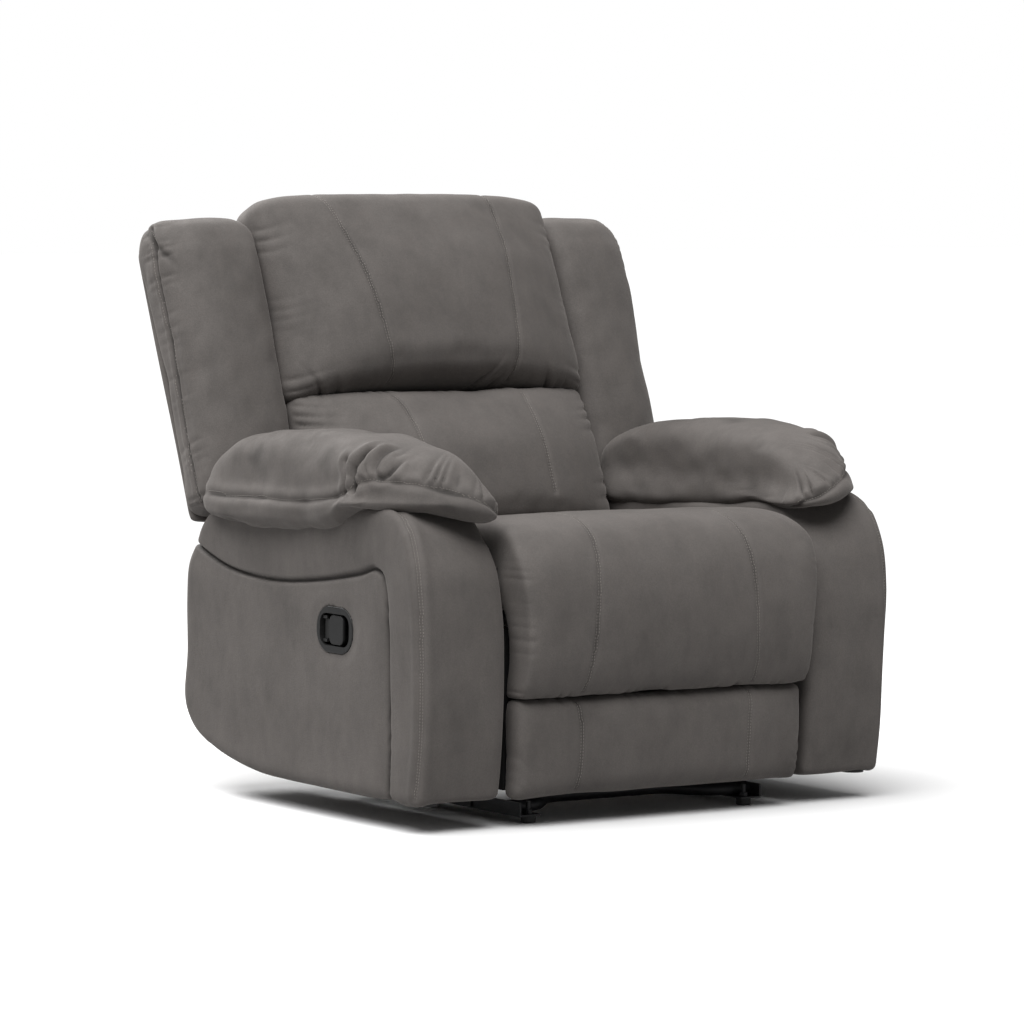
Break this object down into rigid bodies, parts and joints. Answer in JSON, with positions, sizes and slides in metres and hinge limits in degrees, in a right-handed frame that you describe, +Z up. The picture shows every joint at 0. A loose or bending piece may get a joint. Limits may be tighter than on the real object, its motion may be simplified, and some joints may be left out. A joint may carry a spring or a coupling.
{
  "type": "recliner armchair",
  "caption": "Padded recliner armchair with pillow arms, a winged reclining back, a fold-out footrest pad and a side release lever on a low steel base.",
  "frame": {"origin": "on the floor, under the middle of the chair's box", "axes": "+X towards the sitter's left, -Y towards the front, +Z up"},
  "size_m": [1.01, 0.9398, 1.0253],
  "materials": {
    "frame_wood": "sawn",
    "panel_board": "board in black lining cloth",
    "cover_fabric": "matte suede-like weave",
    "cushion_fabric": "matte suede-like weave",
    "lever_plastic": "satin",
    "foot_plastic": "matte",
    "zinc_steel": "zinc plated",
    "cable_sheath": "matte",
    "black_steel": "powder coated"
  },
  "bodies": {
    "base": {"arm_bolts": "zinc_steel", "arm_brackets": "black_steel", "arm_facing_left": "cover_fabric", "arm_facing_right": "cover_fabric", "arm_glides": "foot_plastic", "arm_inner_panel_left": "panel_board", "arm_inner_panel_right": "panel_board", "arm_outer_cover_left": "cover_fabric", "arm_outer_cover_right": "cover_fabric", "arm_pillow_left": "cushion_fabric", "arm_pillow_right": "cushion_fabric", "arm_posts": "frame_wood", "arm_rear_covers": "cover_fabric", "arm_side_panel_left": "cover_fabric", "arm_side_panel_right": "cover_fabric", "arm_top_boards": "frame_wood", "base_brackets": "black_steel", "base_rails": "black_steel", "foot_studs": "black_steel", "front_cross_tube": "black_steel", "levelling_feet": "foot_plastic", "lever_bezel": "lever_plastic", "lever_pin": "zinc_steel", "rear_cross_tube": "black_steel", "release_cable": "cable_sheath", "seat_tracks": "black_steel"},
    "lever": {"lever_paddle": "lever_plastic"},
    "seat": {"seat_side_plate_left": "black_steel", "seat_side_plate_right": "black_steel", "seat_runners": "black_steel", "seat_front_rail": "frame_wood", "seat_rear_rail": "frame_wood", "seat_springs": "zinc_steel", "seat_cushion": "cushion_fabric", "footrest_pivot_pins": "zinc_steel", "back_pivot_pins": "zinc_steel", "shaft_bushes": "foot_plastic"},
    "back": {"back_uprights": "frame_wood", "back_bottom_rail": "frame_wood", "back_middle_rail": "frame_wood", "back_top_rail": "frame_wood", "wing_ribs": "frame_wood", "back_brackets": "black_steel", "back_springs": "zinc_steel", "back_cushion_upper": "cushion_fabric", "back_cushion_lower": "cushion_fabric", "back_wing_left": "cushion_fabric", "back_wing_right": "cushion_fabric", "back_outer_panel": "cover_fabric"},
    "footrest": {"footrest_board": "panel_board", "footrest_pad_upper": "cushion_fabric", "footrest_pad_lower": "cushion_fabric", "swing_arm_left": "black_steel", "swing_arm_right": "black_steel", "lug_pins": "zinc_steel"},
    "drive_shaft_body": {"drive_shaft": "black_steel", "shaft_cranks": "black_steel", "crank_pins": "zinc_steel"},
    "drive_rods_body": {"drive_rods": "black_steel"}
  },
  "joints": [
    {"name": "lever_pull", "type": "hinge", "parent": "base", "child": "lever", "pos_m": [-0.4795, -0.135, 0.318], "axis": [0, 0, -1], "range_deg": [0, 35], "stiffness_Nm_per_rad": 0.6},
    {"name": "seat_glide", "type": "slide", "parent": "base", "child": "seat", "axis": [0, -1, 0], "range_m": [0, 0.02]},
    {"name": "back_recline", "type": "hinge", "parent": "seat", "child": "back", "pos_m": [0, 0.18, 0.32], "axis": [-1, 0, 0], "range_deg": [0, 38]},
    {"name": "footrest_open", "type": "hinge", "parent": "seat", "child": "footrest", "pos_m": [0, -0.413, 0.43], "axis": [-1, 0, 0], "range_deg": [0, 90]},
    {"name": "drive_shaft_turn", "type": "hinge", "parent": "seat", "child": "drive_shaft_body", "pos_m": [0, -0.15, 0.29], "axis": [-1, 0, 0], "range_deg": [0, 90]},
    {"name": "rod_swing", "type": "hinge", "parent": "drive_shaft_body", "child": "drive_rods_body", "pos_m": [0, -0.13538, 0.24219], "axis": [-1, 0, 0], "range_deg": [-90, 0]}
  ],
  "couplings": [
    {"joint": "seat_glide", "follows": "back_recline", "m_per_rad": 0.03},
    {"joint": "drive_shaft_turn", "follows": "footrest_open", "ratio": 1},
    {"joint": "rod_swing", "follows": "footrest_open", "ratio": -1}
  ]
}
